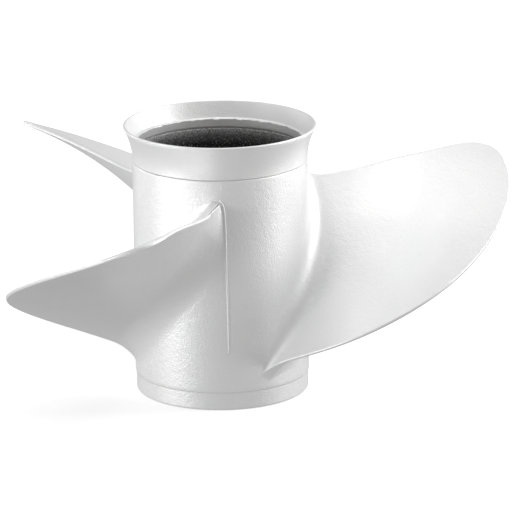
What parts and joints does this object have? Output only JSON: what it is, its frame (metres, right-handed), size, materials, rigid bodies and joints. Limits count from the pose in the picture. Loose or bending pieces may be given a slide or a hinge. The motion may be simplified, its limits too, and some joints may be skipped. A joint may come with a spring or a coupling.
{
  "type": "outboard boat propeller",
  "caption": "White-enamelled right-hand propeller with three swept blades on a tubular exhaust hub, a flared aft ring and a splined rubber-mounted sleeve.",
  "frame": {"origin": "on the shaft axis, in the plane of the hub's forward rim", "axes": "+Z along the shaft axis, from the forward rim towards the exhaust end (aft); blade 1 reaches towards +X"},
  "size_m": [0.3083, 0.333, 0.1678],
  "materials": {
    "white_enamel": "satin",
    "dark_casting": "matt",
    "rubber": "matt",
    "brass": "machined"
  },
  "bodies": {
    "root": {"barrel": "white_enamel", "diffuser_ring": "white_enamel", "blade_1": "white_enamel", "blade_2": "white_enamel", "blade_3": "white_enamel", "inner_hub": "dark_casting", "web_1": "dark_casting", "web_2": "dark_casting", "web_3": "dark_casting", "rubber_bushing": "rubber", "splined_sleeve": "brass"}
  },
  "joints": []
}
